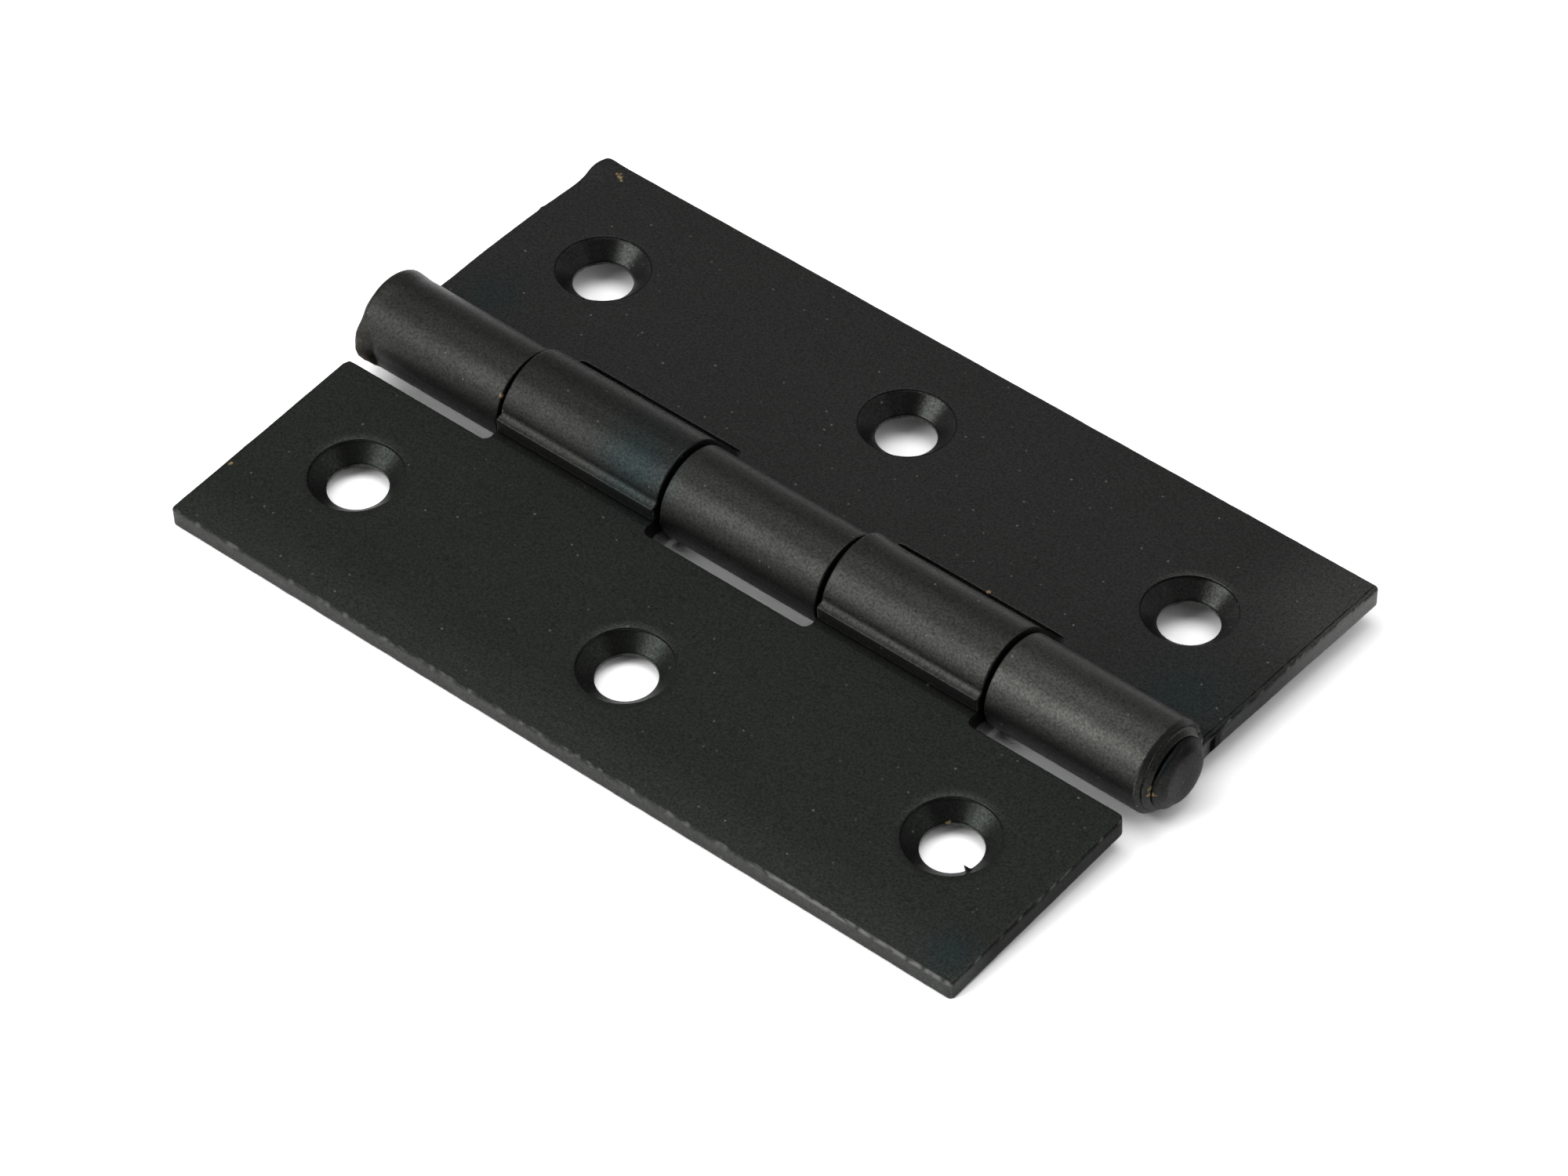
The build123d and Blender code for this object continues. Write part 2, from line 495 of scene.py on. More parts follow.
def add_knuckle(skin, plan, span, lean):
    """One rolled knuckle on the plate's tongue, closed at its toe and at both ends."""
    inner, outer, fade = rolled_section(plan.tongue_root, lean)
    chosen = (plan.columns >= span[0] - same_place) & (plan.columns <= span[1] + same_place)
    columns = plan.columns[chosen]
    root_drop = plan.face_drop[chosen, -1][:, None]
    root_lift = plan.back_drop[chosen, -1][:, None]
    thickness = np.linalg.norm(outer - inner, axis=1)
    into_sheet = (inner - outer) / thickness[:, None]
    outer_drop = np.zeros(len(columns))
    inner_drop = np.zeros(len(columns))
    for end in span:
        distance = np.abs(columns - end)
        outer_drop = np.maximum(outer_drop, edge_drop(distance, end_radius(end)))
        inner_drop = np.maximum(inner_drop, edge_drop(distance, tongue_edge_radius))
    behind = 1 - rise(outer[:, 0], knuckle_radius - bevel_fade, knuckle_radius)
    on_roll = np.maximum(behind, rise(outer[:, 1], *bevel_levels))
    bevel = np.clip(1 - (half_length - columns) / right_bevel_length, 0, 1)
    bevel = right_bevel_depth * bevel
    outer_in = root_lift * (1 - fade) + (outer_drop[:, None] + bevel[:, None] * on_roll) * fade
    inner_in = root_drop * (1 - fade) + inner_drop[:, None] * fade
    outside = section_grid(columns, outer[None] + into_sheet[None] * outer_in[..., None])
    inside = section_grid(columns, inner[None] - into_sheet[None] * inner_in[..., None])
    skin.patch(outside)
    skin.patch(inside)
    skin.patch(wall(inside[:, -1], outside[:, -1]))
    for column in (0, -1):
        skin.patch(wall(inside[column], outside[column]))


def section_grid(columns, section):
    """Section points (columns, rows, 2) set at their places along x."""
    along = np.broadcast_to(columns[:, None, None], (*section.shape[:2], 1))
    return np.concatenate([along, section], axis=2)


def leaf_mesh(name, spans, notch_reach, outer_radius, creases, holes, lean):
    """A whole leaf in its own section, in millimetres, with close columns at its creases."""
    skin = Skin()
    plan = LeafPlan(spans, notch_reach, outer_radius, creases)
    add_plate(skin, plan, holes)
    for span in spans:
        add_knuckle(skin, plan, span, lean)
    return skin.mesh(name)


def pin_mesh(name):
    """The pin about its axis along x, with its two spread heads."""
    shoulder = half_length + pin_head_seat
    dome_start = pin_tip - pin_head_dome
    under = softened(
        [
            (shoulder - pin_neck, pin_radius),
            (shoulder, pin_radius),
            (dome_start - pin_head_rim, pin_head_radius - pin_head_draft),
            (dome_start, pin_head_radius),
        ],
        pin_head_softness,
        pin_step,
    )
    share = np.cos(np.linspace(0, math.pi / 2, dome_points))[1:]
    crown = pin_head_dome * np.sqrt(1 - share**dome_power)
    dome = np.stack([dome_start + crown, pin_head_radius * share], -1)
    head = np.concatenate([under, dome])
    shank = np.linspace(-shoulder + shank_margin, shoulder - shank_margin, shank_rings)
    line = [(-x, r) for x, r in head[::-1]]
    line += [(x, pin_radius) for x in shank]
    line += [(x, r) for x, r in head]
    angles = np.linspace(0, 2 * math.pi, pin_sides + 1)
    rings = [
        np.stack([np.full_like(angles, x), r * np.cos(angles), r * np.sin(angles)], -1)
        for x, r in line
    ]
    skin = Skin()
    skin.patch(np.stack(rings))
    return skin.mesh(name)


# Wear, and painted light and shade: how much there is and where, in each leaf's own section. A pair
# says where a mark starts and where it is full, or the other way round where it fades. Angles are
# degrees from straight up, away from the leaf's own plate.
barrel_fade = (knuckle_radius - 1.2, toe_reach + 0.2)
barrel_skin = (bore_radius + 0.5, knuckle_radius - 0.25)
plate_start = toe_reach + 0.3
knuckle_margin = 0.3
end_run = 2.2

# Gloss of the plates, the knuckles and the pin, with painted light and painted shade in places
frame_plate_polish = 0.9
door_plate_polish = 0.78
frame_polish = (0.8, 0.88, 1.32)
door_polish = (0.9, 0.64)
pin_polish = 0.125
# Painted sheen on the front of the pin heads
head_front_painted_sheen = 1.2
head_front_reach = (0.0, 2.0)
# Painted shade on the barrel's right end
shaded_end_gloss = 0.45
end_bevel_share = 0.9
# Painted sheen at the frame leaf's far corner
far_corner_painted_sheen = 0.9
far_corner_x = (28, 38)
far_corner_u = (11, 21)
near_edge_polish = 0.3
near_edge_u = (20, 25)
# Painted shade under the barrels, on their backs and in the notches
underside_painted_shade = 0.85
underside_levels = (-0.3, 0.8)
barrel_back_painted_shade = 0.5
barrel_back_angles = (12, 40)
notch_painted_shade = 0.8
notch_skin = 0.05

# Countersinks: pressed smooth one way from the centre, painted glint and shade at turns from there
burnished_way = (-0.64, 0.77)
burnished_reach = (-1.5, 0.5)
burnished_polish = 0.9
frame_burnish = 1.0
frame_cone_polish = 0.3
door_burnish = 0.4
door_cone_polish = 0.55
cone_margin = 0.02
cone_depth = 0.04
glint_turn = -115.0
glint_width = 25.0
painted_glint_strength = 1.4
shade_spot_turn = 20.0
shade_spot_width = 20.0
shade_spot_strength = 0.7

# Sheared edges with a chipped rim, their walls darkened as painted shade, the side walls the more
edge_waver = 0.035
edge_waves = ((0.6, 0.7), (0.8, 3.1))
edge_loss = 0.5
edge_lift = 0.2
sheared_width = (0.02, 0.2)
side_sheared_shading = 0.75
side_wall_painted_shade = 0.68
outer_wall_painted_shade = 0.5
chip_depth = 0.24
chip_width = 0.16
chip_size = 0.5
chip_noise_shift = 40.0
chip_noise = (0.05, 0.5)
chip_strength = 0.55

# Frame leaf: the barrel's stretched ends, the lump and the flare at its left one, the left edge
left_end_stretch = 0.4
right_end_stretch = 0.3
lump_crease = -36.5
lump_run = 1.4
lump_sharpening = 1.2
lump_sharp_angles = (88, 108)
lump_top = (58.0, 84.0)
lump_foot = (108.0, 126.0)
lump_height = 0.36
lump_waves = ((0.3, 0.9), (0.2, 0.35))
lump_overhang = 0.2
lump_dullness = 0.4
lump_specks = 0.6
lump_speck_size = 0.3
lump_speck_shift = 7.0
lump_speck_noise = (0.25, 0.5)
end_flare = 0.14
flare_reach = (1.6, 0.3)
flare_front_angles = (10, 60)
flare_back_angles = (60, 110)
edge_bow = 0.2
edge_bow_span = (6.0, 22.5)
corner_bump = 0.28
corner_bump_u = 23.9
corner_bump_width = 1.5
nib_height = 0.13
nib_u = 17.3
nib_width = 0.2
nib_run = 0.4

# Door leaf: the burr on its outer edge, the burr and the sliver at a hole, the swollen knuckle
edge_burr_height = 0.12
edge_burr_start = (19.0, 22.0)
edge_burr_width = (0.05, 0.3)
edge_burr_depth = 0.3
edge_burr_size = 0.6
edge_burr_bare = (0.05, 0.25)
hole_burr = (-32.27, 16.3)
hole_burr_height = 0.2
hole_burr_width = 0.28
hole_burr_depth = 0.6
sliver_hole = (-29.3, 14.48)
sliver_way = (-0.919, 0.394)
sliver_length = 0.6
sliver_width = 0.1
sliver_start = (1.6, 2.3)
sliver_end = (2.5, 2.9)
sliver_depth = 0.3
swelling_height = 0.14
swelling_span = (-11.0, -8.0)
swelling_top = (5, 40)
swelling_foot = (80, 120)

# Pin heads, pressed down on the barrel's ends but for a crevice
head_press = 0.26
head_press_least = 0.4
head_press_run = 0.5
crevice_angle = 34.0
crevice_spread = (14, 42)


def ripple(points, size):
    """Smooth noise from about -1 to 1 at points, with waves about size long."""
    return np.array([noise.noise(Vector(point) / size) for point in points])


def waves(points, parts):
    """Ripples added up, each given by its amount and its size."""
    return sum(amount * ripple(points, size) for amount, size in parts)


def bell(distance, width):
    """1 at no distance, falling away smoothly over about a width."""
    return np.exp(-((distance / width) ** 2))


def near_end(along, run):
    """Goes from 0 to 1 over the last run before the hinge's end."""
    return rise(along, half_length - run, half_length)


class WearAndPaintedLight:
    """A piece's points while they are moved for its wear, and the marks that its material reads,
    painted light and shade among them.
    """

    def __init__(self, mesh, polish):
        self.mesh = mesh
        self.plate_polish = polish
        flat = np.empty(len(mesh.vertices) * 3)
        mesh.vertices.foreach_get("co", flat)
        self.points = flat.reshape(-1, 3)
        self.x, self.u, self.v = self.points.copy().T
        self.radius = np.hypot(self.u, self.v)
        self.barrel = 1 - rise(self.u, *barrel_fade)
        self.skin = rise(self.radius, *barrel_skin)
        self.from_up = np.degrees(np.arctan2(-self.u, self.v))
        self.marks = {}
        for mark in ("sheared", "bare", "grime", "burnish"):
            self.marks[mark] = np.zeros(len(self.points))
        self.marks["polish"] = np.full(len(self.points), polish)

    def swell(self, amount):
        """Moves points of the barrel outwards from the pin axis."""
        away = np.stack([self.u, self.v], -1) / self.radius[:, None]
        self.points[:, 1:] += away * (amount * self.skin * self.barrel)[:, None]

    def gloss_knuckles_and_paint_shade(self, spans, amounts):
        """Sets how bright each knuckle is, and dulls the underside as painted shade."""
        for (start, end), amount in zip(spans, amounts):
            here = (self.x > start - knuckle_margin) & (self.x < end + knuckle_margin)
            self.marks["polish"][here] += (self.barrel * (amount - self.plate_polish))[here]
        # Painted shade under the barrel
        under = rise(-self.v, *underside_levels) * (self.u < knuckle_radius + crank_radius)
        self.marks["polish"] *= 1 - underside_painted_shade * under

    def burnish_holes_and_paint_light(self, holes, way, amount, dull):
        """Marks the countersinks: smooth on the side that lies a way from the centre, with a
        painted glint and painted shade at turns from there.
        """
        for x, u in hole_centres(holes):
            off_x, off_u = self.x - x, self.u - u
            cone = np.hypot(off_x, off_u) < countersink_radius + cone_margin
            cone &= (self.v < face_level - cone_depth) & (self.v > back_level + cone_depth)
            ahead = off_x * way[0] + off_u * way[1]
            aside = off_u * way[0] - off_x * way[1]
            pressed = rise(ahead, *burnished_reach)
            turn = np.degrees(np.arctan2(aside, ahead))
            # A painted glint, and painted shade on the far side of the cone
            glint = painted_glint_strength * bell(turn - glint_turn, glint_width)
            shade_spot = shade_spot_strength * bell(turn - shade_spot_turn, shade_spot_width)
            self.marks["burnish"][cone] = amount * pressed[cone]
            polish = (dull + (burnished_polish - dull) * pressed + glint) * (1 - shade_spot)
            self.marks["polish"][cone] *= polish[cone]

    def rough_edges_and_paint_shade(self):
        """Shears the outer edges unevenly and marks them, with painted shade on their walls."""
        from_side = half_length - np.abs(self.x)
        from_outer = leaf_reach - self.u
        distance = np.minimum(from_side, from_outer)
        on_plate = self.u > plate_start
        sheared = (1 - rise(distance, *sheared_width)) * on_plate
        near = sheared > 0
        wave = waves(self.points[near], edge_waves)
        inward = edge_waver * (wave - edge_loss) * sheared[near]
        outer = from_outer[near] < from_side[near]
        self.points[near, 1] += inward * outer
        self.points[near, 0] += inward * ~outer * np.sign(self.x[near])
        self.points[near, 2] += edge_lift * edge_waver * wave * sheared[near]
        # Painted shade: the walls' gloss is turned down, the side walls' the more, and the side
        # walls lose some lighter sheared colour
        on_side = sheared * (from_side < from_outer)
        self.marks["sheared"] = sheared - side_sheared_shading * on_side
        wall_shade = outer_wall_painted_shade * sheared + (side_wall_painted_shade - outer_wall_painted_shade) * on_side
        self.marks["polish"] -= wall_shade
        on_rim = (self.v > face_level - chip_depth) & (distance < chip_width) & on_plate
        chips = ripple(self.points[on_rim] + chip_noise_shift, chip_size)
        self.marks["bare"][on_rim] = chip_strength * rise(chips, *chip_noise)

    def store(self):
        """Writes the points and the marks to the mesh."""
        self.mesh.vertices.foreach_set("co", self.points.ravel())
        for name, values in self.marks.items():
            layer = self.mesh.attributes.new(name, "FLOAT", "POINT")
            layer.data.foreach_set("value", values.astype(np.float32))
        self.mesh.update()
        return self.mesh


def frame_leaf_wear_and_painted_light(mesh, spans):
    """The frame leaf's wear: stretched barrel ends, a lump at one and an uneven left edge, with
    painted shade in the notches and on the barrel's back and right end, and a painted sheen at the
    far corner.
    """
    wear = WearAndPaintedLight(mesh, frame_plate_polish)
    wear.gloss_knuckles_and_paint_shade(spans, frame_polish)
    wear.burnish_holes_and_paint_light(frame_holes, burnished_way, frame_burnish, frame_cone_polish)
    wear.rough_edges_and_paint_shade()
    x, u, v, polish = wear.x, wear.u, wear.v, wear.marks["polish"]
    # Painted sheen at the far corner
    polish += far_corner_painted_sheen * rise(x, *far_corner_x) * rise(u, *far_corner_u)
    # Painted shade in the notches
    in_notch = (u < frame_notch + notch_skin) & (u > plate_start) & (v < face_level - notch_skin)
    polish[in_notch] *= 1 - notch_painted_shade
    left_end = near_end(-x, end_run) * wear.barrel
    wear.points[:, 0] -= left_end_stretch * left_end
    wear.points[:, 0] += right_end_stretch * near_end(x, end_run) * wear.barrel
    add_lump(wear, left_end)
    # Painted shade on the barrel's back
    polish *= 1 - barrel_back_painted_shade * rise(-wear.from_up, *barrel_back_angles) * wear.barrel
    # Painted shade on the barrel's right end: its gloss is brought to one low level
    bevel_start = half_length - right_bevel_length
    bevel_full = half_length - end_bevel_share * right_bevel_length
    polish += (shaded_end_gloss - polish) * (rise(x, bevel_start, bevel_full) * wear.barrel)
    bend_left_edge(wear)
    return wear.store()


def add_lump(wear, left_end):
    """The grimy, specked lump low on the barrel's left end, and the flare at that end's top."""
    run = lump_run - lump_sharpening * rise(wear.from_up, *lump_sharp_angles)
    lump = rise(-wear.x, -lump_crease, -lump_crease + run) * wear.barrel
    lump *= rise(wear.from_up, *lump_top) * (1 - rise(wear.from_up, *lump_foot))
    uneven = 1 + waves(wear.points, lump_waves)
    flare = rise(-wear.x, half_length - flare_reach[0], half_length - flare_reach[1])
    front_fade = 1 - rise(wear.from_up, *flare_front_angles)
    flare *= front_fade * (1 - rise(-wear.from_up, *flare_back_angles))
    wear.swell(lump_height * lump * uneven + end_flare * flare)
    wear.points[:, 0] -= lump_overhang * lump_height * lump * left_end
    wear.marks["grime"] = np.clip(lump * uneven, 0, 1)
    wear.marks["polish"] *= 1 - lump_dullness * wear.marks["grime"]
    specks = ripple(wear.points + lump_speck_shift, lump_speck_size)
    wear.marks["bare"] += lump_specks * lump * rise(specks, *lump_speck_noise)


def bend_left_edge(wear):
    """The bow of the frame leaf's left edge, the bump at its far corner and the nib on it."""
    at_edge = near_end(-wear.x, end_run)
    start, end = edge_bow_span
    bow = np.clip((wear.u - start) / (end - start), 0, 1)
    bump = at_edge * bell(wear.u - corner_bump_u, corner_bump_width)
    nib = near_end(-wear.x, nib_run) * bell(wear.u - nib_u, nib_width)
    wear.points[:, 0] -= edge_bow * at_edge * 4 * bow * (1 - bow)
    wear.points[:, 0] -= corner_bump * bump
    wear.points[:, 2] += corner_bump * bump
    wear.points[:, 0] -= nib_height * nib


def door_leaf_wear_and_painted_light(mesh, spans):
    """The door leaf's wear: burrs on its outer edge and at holes, and a swelling on a knuckle, with
    painted light and shade on its knuckles, holes and edges.
    """
    wear = WearAndPaintedLight(mesh, door_plate_polish)
    wear.gloss_knuckles_and_paint_shade(spans, door_polish)
    way = (-burnished_way[0], -burnished_way[1])
    wear.burnish_holes_and_paint_light(door_holes, way, door_burnish, door_cone_polish)
    wear.rough_edges_and_paint_shade()
    wear.marks["polish"] += near_edge_polish * rise(wear.u, *near_edge_u)
    add_edge_burr(wear)
    add_hole_burrs(wear)
    swelling = rise(wear.x, *swelling_span) * rise(wear.from_up, *swelling_top)
    swelling *= 1 - rise(wear.from_up, *swelling_foot)
    wear.swell(swelling_height * swelling * (wear.x < 0))
    return wear.store()


def add_edge_burr(wear):
    """The bright burr along part of the door leaf's outer edge."""
    on_rim = 1 - rise(leaf_reach - wear.u, *edge_burr_width)
    on_rim *= wear.v > face_level - edge_burr_depth
    along = rise(-wear.x, *edge_burr_start) * on_rim
    burr = np.zeros(len(along))
    burr[along > 0] = np.abs(ripple(wear.points[along > 0], edge_burr_size))
    wear.points[:, 2] += edge_burr_height * along * burr
    bare = along * rise(burr, *edge_burr_bare)
    wear.marks["bare"] = np.maximum(wear.marks["bare"], bare)


def add_hole_burrs(wear):
    """The burr at the rim of one hole, and the sliver of steel that reaches into it."""
    x, u, v = wear.x, wear.u, wear.v
    away = np.hypot(x - hole_burr[0], u - hole_burr[1])
    nick = bell(away, hole_burr_width) * (v > face_level - hole_burr_depth)
    wear.points[:, 2] += hole_burr_height * nick
    wear.marks["grime"] = nick
    way = np.array(sliver_way)
    from_hole = np.stack([x - sliver_hole[0], u - sliver_hole[1]], -1)
    along = from_hole @ way
    across = from_hole @ np.array((-way[1], way[0]))
    sliver = bell(across, sliver_width) * rise(along, *sliver_start)
    sliver *= 1 - rise(along, *sliver_end)
    sliver *= v < back_level + hole_land + sliver_depth
    wear.points[:, :2] -= sliver_length * sliver[:, None] * way


def pin_wear_and_painted_sheen(mesh):
    """The pin, its heads pressed down on the barrel's ends but for a crevice at the upper front,
    and a painted sheen on its front.
    """
    wear = WearAndPaintedLight(mesh, pin_polish)
    # Painted sheen on the pin's front
    wear.marks["polish"] *= 1 + head_front_painted_sheen * rise(-wear.u, *head_front_reach)
    pressed = rise(np.abs(wear.from_up - crevice_angle), *crevice_spread)
    pressed = head_press_least + (1 - head_press_least) * pressed
    pressed *= rise(wear.radius, pin_radius, pin_radius + head_press_run)
    over = np.abs(wear.x) - half_length - pin_head_seat / 2
    wear.points[:, 0] -= np.sign(wear.x) * np.clip(over, 0, head_press) * pressed
    at_head = near_end(np.abs(wear.x), end_run)
    wear.points[:, 0] += at_head * np.where(wear.x > 0, right_end_stretch, -left_end_stretch)
    return wear.store()


def place(mesh, matrix):
    """An object of a mesh in millimetres, set into the frame in metres."""
    mesh.transform(Matrix.Scale(MM, 4) @ matrix)
    made = bpy.data.objects.new(mesh.name, mesh)
    bpy.context.scene.collection.objects.link(made)
    for polygon in mesh.polygons:
        polygon.use_smooth = True
    return made


frame_spans = knuckle_spans[0::2]
door_spans = [(-end, -start) for start, end in reversed(knuckle_spans[1::2])]
at_pin = Matrix.Translation((0, 0, pin_height))
at_door = at_pin @ Matrix.Rotation(door_tilt, 4, "X") @ Matrix.Rotation(math.pi, 4, "Z")
creases = (lump_crease, half_length - right_bevel_length)
frame_sheet = leaf_mesh(
    "frame_leaf_sheet", frame_spans, frame_notch, face_edge_radius, creases, frame_holes, 0.0
)
door_sheet = leaf_mesh(
    "door_leaf_sheet", door_spans, door_notch, door_outer_radius, (), door_holes, door_roll_lean
)
frame_leaf = place(frame_leaf_wear_and_painted_light(frame_sheet, frame_spans), at_pin)
door_leaf = place(door_leaf_wear_and_painted_light(door_sheet, door_spans), at_door)
pin = place(pin_wear_and_painted_sheen(pin_mesh("riveted_pin")), at_pin)

for piece, node, body, slot in (
    (frame_leaf, "frame_leaf", "frame_side", "blackened_steel"),
    (door_leaf, "door_leaf", "door_side", "blackened_steel"),
    (pin, "hinge_pin", "frame_side", "pin_steel"),
):
    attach(piece, body)
    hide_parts(node)


class Tree:
    """Adds nodes to a node tree with their settings, linking the sockets given as inputs."""

    def __init__(self, owner):
        owner.use_nodes = True
        self.nodes = owner.node_tree.nodes
        self.links = owner.node_tree.links
        self.nodes.clear()

    def add(self, kind, inputs=None, **settings):
        node = self.nodes.new("ShaderNode" + kind)
        for name, value in settings.items():
            setattr(node, name, value)
        for key, value in (inputs or {}).items():
            self.give(node.inputs[key], value)
        return node

    def give(self, socket, value):
        if isinstance(value, bpy.types.NodeSocket):
            self.links.new(value, socket)
        else:
            socket.default_value = value

    def scale(self, value, start, end, low=0.0, high=1.0):
        """A value taken from one range to another, and held at its ends."""
        inputs = {"Value": value, "From Min": start, "From Max": end, "To Min": low, "To Max": high}
        return self.add("MapRange", inputs).outputs["Result"]

    def blend(self, share, first, second):
        """Goes from one colour to another."""
        return self.add("Mix", {0: share, 6: first, 7: second}, data_type="RGBA").outputs[2]

    def times(self, first, second):
        return self.add("Math", {0: first, 1: second}, operation="MULTIPLY").outputs[0]

    def plus(self, first, second):
        return self.add("Math", {0: first, 1: second}, operation="ADD").outputs[0]

    def most(self, first, second):
        return self.add("Math", {0: first, 1: second}, operation="MAXIMUM").outputs[0]

    def noise(self, where, scale, detail, roughness=0.5):
        inputs = {"Vector": where, "Scale": scale, "Detail": detail, "Roughness": roughness}
        return self.add("TexNoise", inputs).outputs["Fac"]

    def near(self, where, spots, core):
        """1 within the core share of a spot's size, fading to 0 at its size."""
        share = None
        for spot, size in spots:
            apart = {0: where, 1: spot * MM}
            away = self.add("VectorMath", apart, operation="DISTANCE").outputs["Value"]
            inside = self.scale(away, size * MM, core * size * MM)
            share = inside if share is None else self.most(share, inside)
        return share

    def mark(self, name):
        return self.add("Attribute", attribute_name=name, attribute_type="GEOMETRY").outputs["Fac"]


# The finish: colours on the steel, and tints of its gloss
blackened_base = (0.004, 0.0041, 0.0039)
pin_base = (0.007, 0.0069, 0.0071)
sheared_colour = (0.028, 0.027, 0.0265, 1)
speck_colour = (0.12, 0.118, 0.114, 1)
bare_colour = (0.22, 0.216, 0.21, 1)
grime_colour = (0.022, 0.016, 0.012, 1)
brass_colour = (0.26, 0.18, 0.085, 1)
frame_tint = (0.96, 1, 0.94, 1)
door_tint = (0.89, 1, 0.88, 1)
patch_tint = (0.88, 1, 0.93, 1)
barrel_tint = (1, 1, 0.93, 1)
teal_tint = (0.7, 1, 1, 1)

# Scales of its noise, in waves to the metre
grain_scale = 5200
scuff_scale = 1500
mottle_scale = 170
patch_scale = 48
speck_scale = 900
jag_scale = 3000

# Strengths of its parts, with ranges of noise as pairs
noise_range = (0.3, 0.7)
scuff_range = (0.3, 0.75)
patch_range = (0.5, 0.75)
patch_strength = 0.5
speck_edge = (0.11, 0.05)
speck_chance = (0.35, 0.9)
bare_strength = 0.8
grime_strength = 0.75
blackened_roughness = 0.42
pin_roughness = 0.44
mottle_roughness = (-0.03, 0.04)
worn_roughness = 0.08
burnished_roughness = -0.14
gloss_range = (0.25, 0.75)
scuff_everywhere = 0.15

# Sizes in it, in millimetres, and the full-strength share of a fleck and a tinted place
grain_depth = 0.014
scuff_depth = 0.012
jag_reach = 0.5
leaf_tint_reach = 5.0
barrel_tint_levels = (4.0, 4.8)
fleck_core = 0.5
tint_core = 0.2


def finish_of(name, base, roughness, flecks, tints):
    """Dark satin steel with grain, faint tinted patches, pale specks, sheared edges and flecks."""
    material = bpy.data.materials.new(name)
    tree = Tree(material)
    where = tree.add("TexCoord").outputs["Object"]
    marks = {mark: tree.mark(mark) for mark in ("sheared", "bare", "grime", "polish", "burnish")}
    grain = tree.noise(where, grain_scale, 3, 0.6)
    scuff = tree.noise(where, scuff_scale, 3, 0.7)
    gloss = tree.scale(grain, *noise_range, *gloss_range)
    shader = tree.add("BsdfPrincipled", {
        "Base Color": steel_colour(tree, where, marks, scuff, base, flecks),
        "Roughness": steel_roughness(tree, where, marks, roughness),
        # The gloss mark holds painted light and shade as well as the steel's own gloss
        "Specular IOR Level": tree.times(marks["polish"], gloss),
        "Specular Tint": gloss_tint(tree, where, tints),
        "Normal": steel_relief(tree, marks, grain, scuff),
    })
    output = tree.add("OutputMaterial")
    tree.links.new(shader.outputs[0], output.inputs["Surface"])
    return material


def steel_colour(tree, where, marks, scuff, base, flecks):
    """The base colour with sheared edges, pale specks, bare rims, grime and flecks."""
    cells = tree.add("TexVoronoi", {"Vector": where, "Scale": speck_scale})
    chance = tree.add("SeparateColor", {0: cells.outputs["Color"]})
    dot = tree.scale(cells.outputs["Distance"], *speck_edge)
    specks = tree.times(dot, tree.scale(chance.outputs[0], *speck_chance))
    torn = tree.times(marks["sheared"], tree.scale(scuff, *scuff_range))
    colour = tree.blend(torn, (*base, 1), sheared_colour)
    colour = tree.blend(specks, colour, speck_colour)
    colour = tree.blend(tree.times(marks["bare"], bare_strength), colour, bare_colour)
    colour = tree.blend(tree.times(marks["grime"], grime_strength), colour, grime_colour)
    return tree.blend(tree.near(jagged(tree, where), flecks, fleck_core), colour, brass_colour)


def jagged(tree, where):
    """Places shifted by fine noise, so that what lies near a point gets a jagged outline."""
    fine = {0: where, 1: (jag_scale,) * 3}
    fine = tree.add("VectorMath", fine, operation="MULTIPLY").outputs[0]
    shifted = tree.add("TexNoise", {"Vector": fine, "Scale": 1.0}).outputs["Color"]
    offset = {0: shifted, 1: (jag_reach * MM,) * 3, 2: (-jag_reach * MM / 2,) * 3}
    offset = tree.add("VectorMath", offset, operation="MULTIPLY_ADD").outputs[0]
    return tree.add("VectorMath", {0: where, 1: offset}, operation="ADD").outputs[0]


def steel_roughness(tree, where, marks, middle):
    """Mottled, rougher where the steel is sheared or grimy and smoother where it is burnished."""
    mottle = tree.noise(where, mottle_scale, 4, 0.6)
    low, high = (middle + change for change in mottle_roughness)
    rough = tree.scale(mottle, *noise_range, low, high)
    worn = tree.most(marks["sheared"], marks["grime"])
    rough = tree.plus(rough, tree.times(worn, worn_roughness))
    return tree.plus(rough, tree.times(marks["burnish"], burnished_roughness))


def gloss_tint(tree, where, tints):
    """The gloss has one tint on each leaf and one on the barrel, with green and teal places."""
    axis = tree.add("SeparateXYZ", {0: where}).outputs
    on_door_side = tree.scale(axis["Y"], leaf_tint_reach * MM, -leaf_tint_reach * MM)
    tint = tree.blend(on_door_side, frame_tint, door_tint)
    patches = tree.noise(where, patch_scale, 2)
    tint = tree.blend(tree.scale(patches, *patch_range, 0.0, patch_strength), tint, patch_tint)
    low, high = (level * MM for level in barrel_tint_levels)
    tint = tree.blend(tree.scale(axis["Z"], low, high), tint, barrel_tint)
    return tree.blend(tree.near(where, tints, tint_core), tint, teal_tint)


def steel_relief(tree, marks, grain, scuff):
    """The bump of the grain everywhere, and of the scuffs mostly on the sheared edges."""
    torn = tree.times(scuff, tree.plus(marks["sheared"], scuff_everywhere))
    relief = None
    for height, depth in ((grain, grain_depth), (torn, scuff_depth)):
        inputs = {"Strength": 1.0, "Distance": depth * MM, "Height": height}
        if relief is not None:
            inputs["Normal"] = relief
        relief = tree.add("Bump", inputs).outputs[0]
    return relief


def on_frame(x, u, v):
    """A place on the frame leaf in the frame, in millimetres."""
    return at_pin @ Vector((x, u, v))


def on_door(x, u, v):
    """A place on the door leaf in the frame, from x in the frame, in millimetres."""
    return at_door @ Vector((-x, u, v))


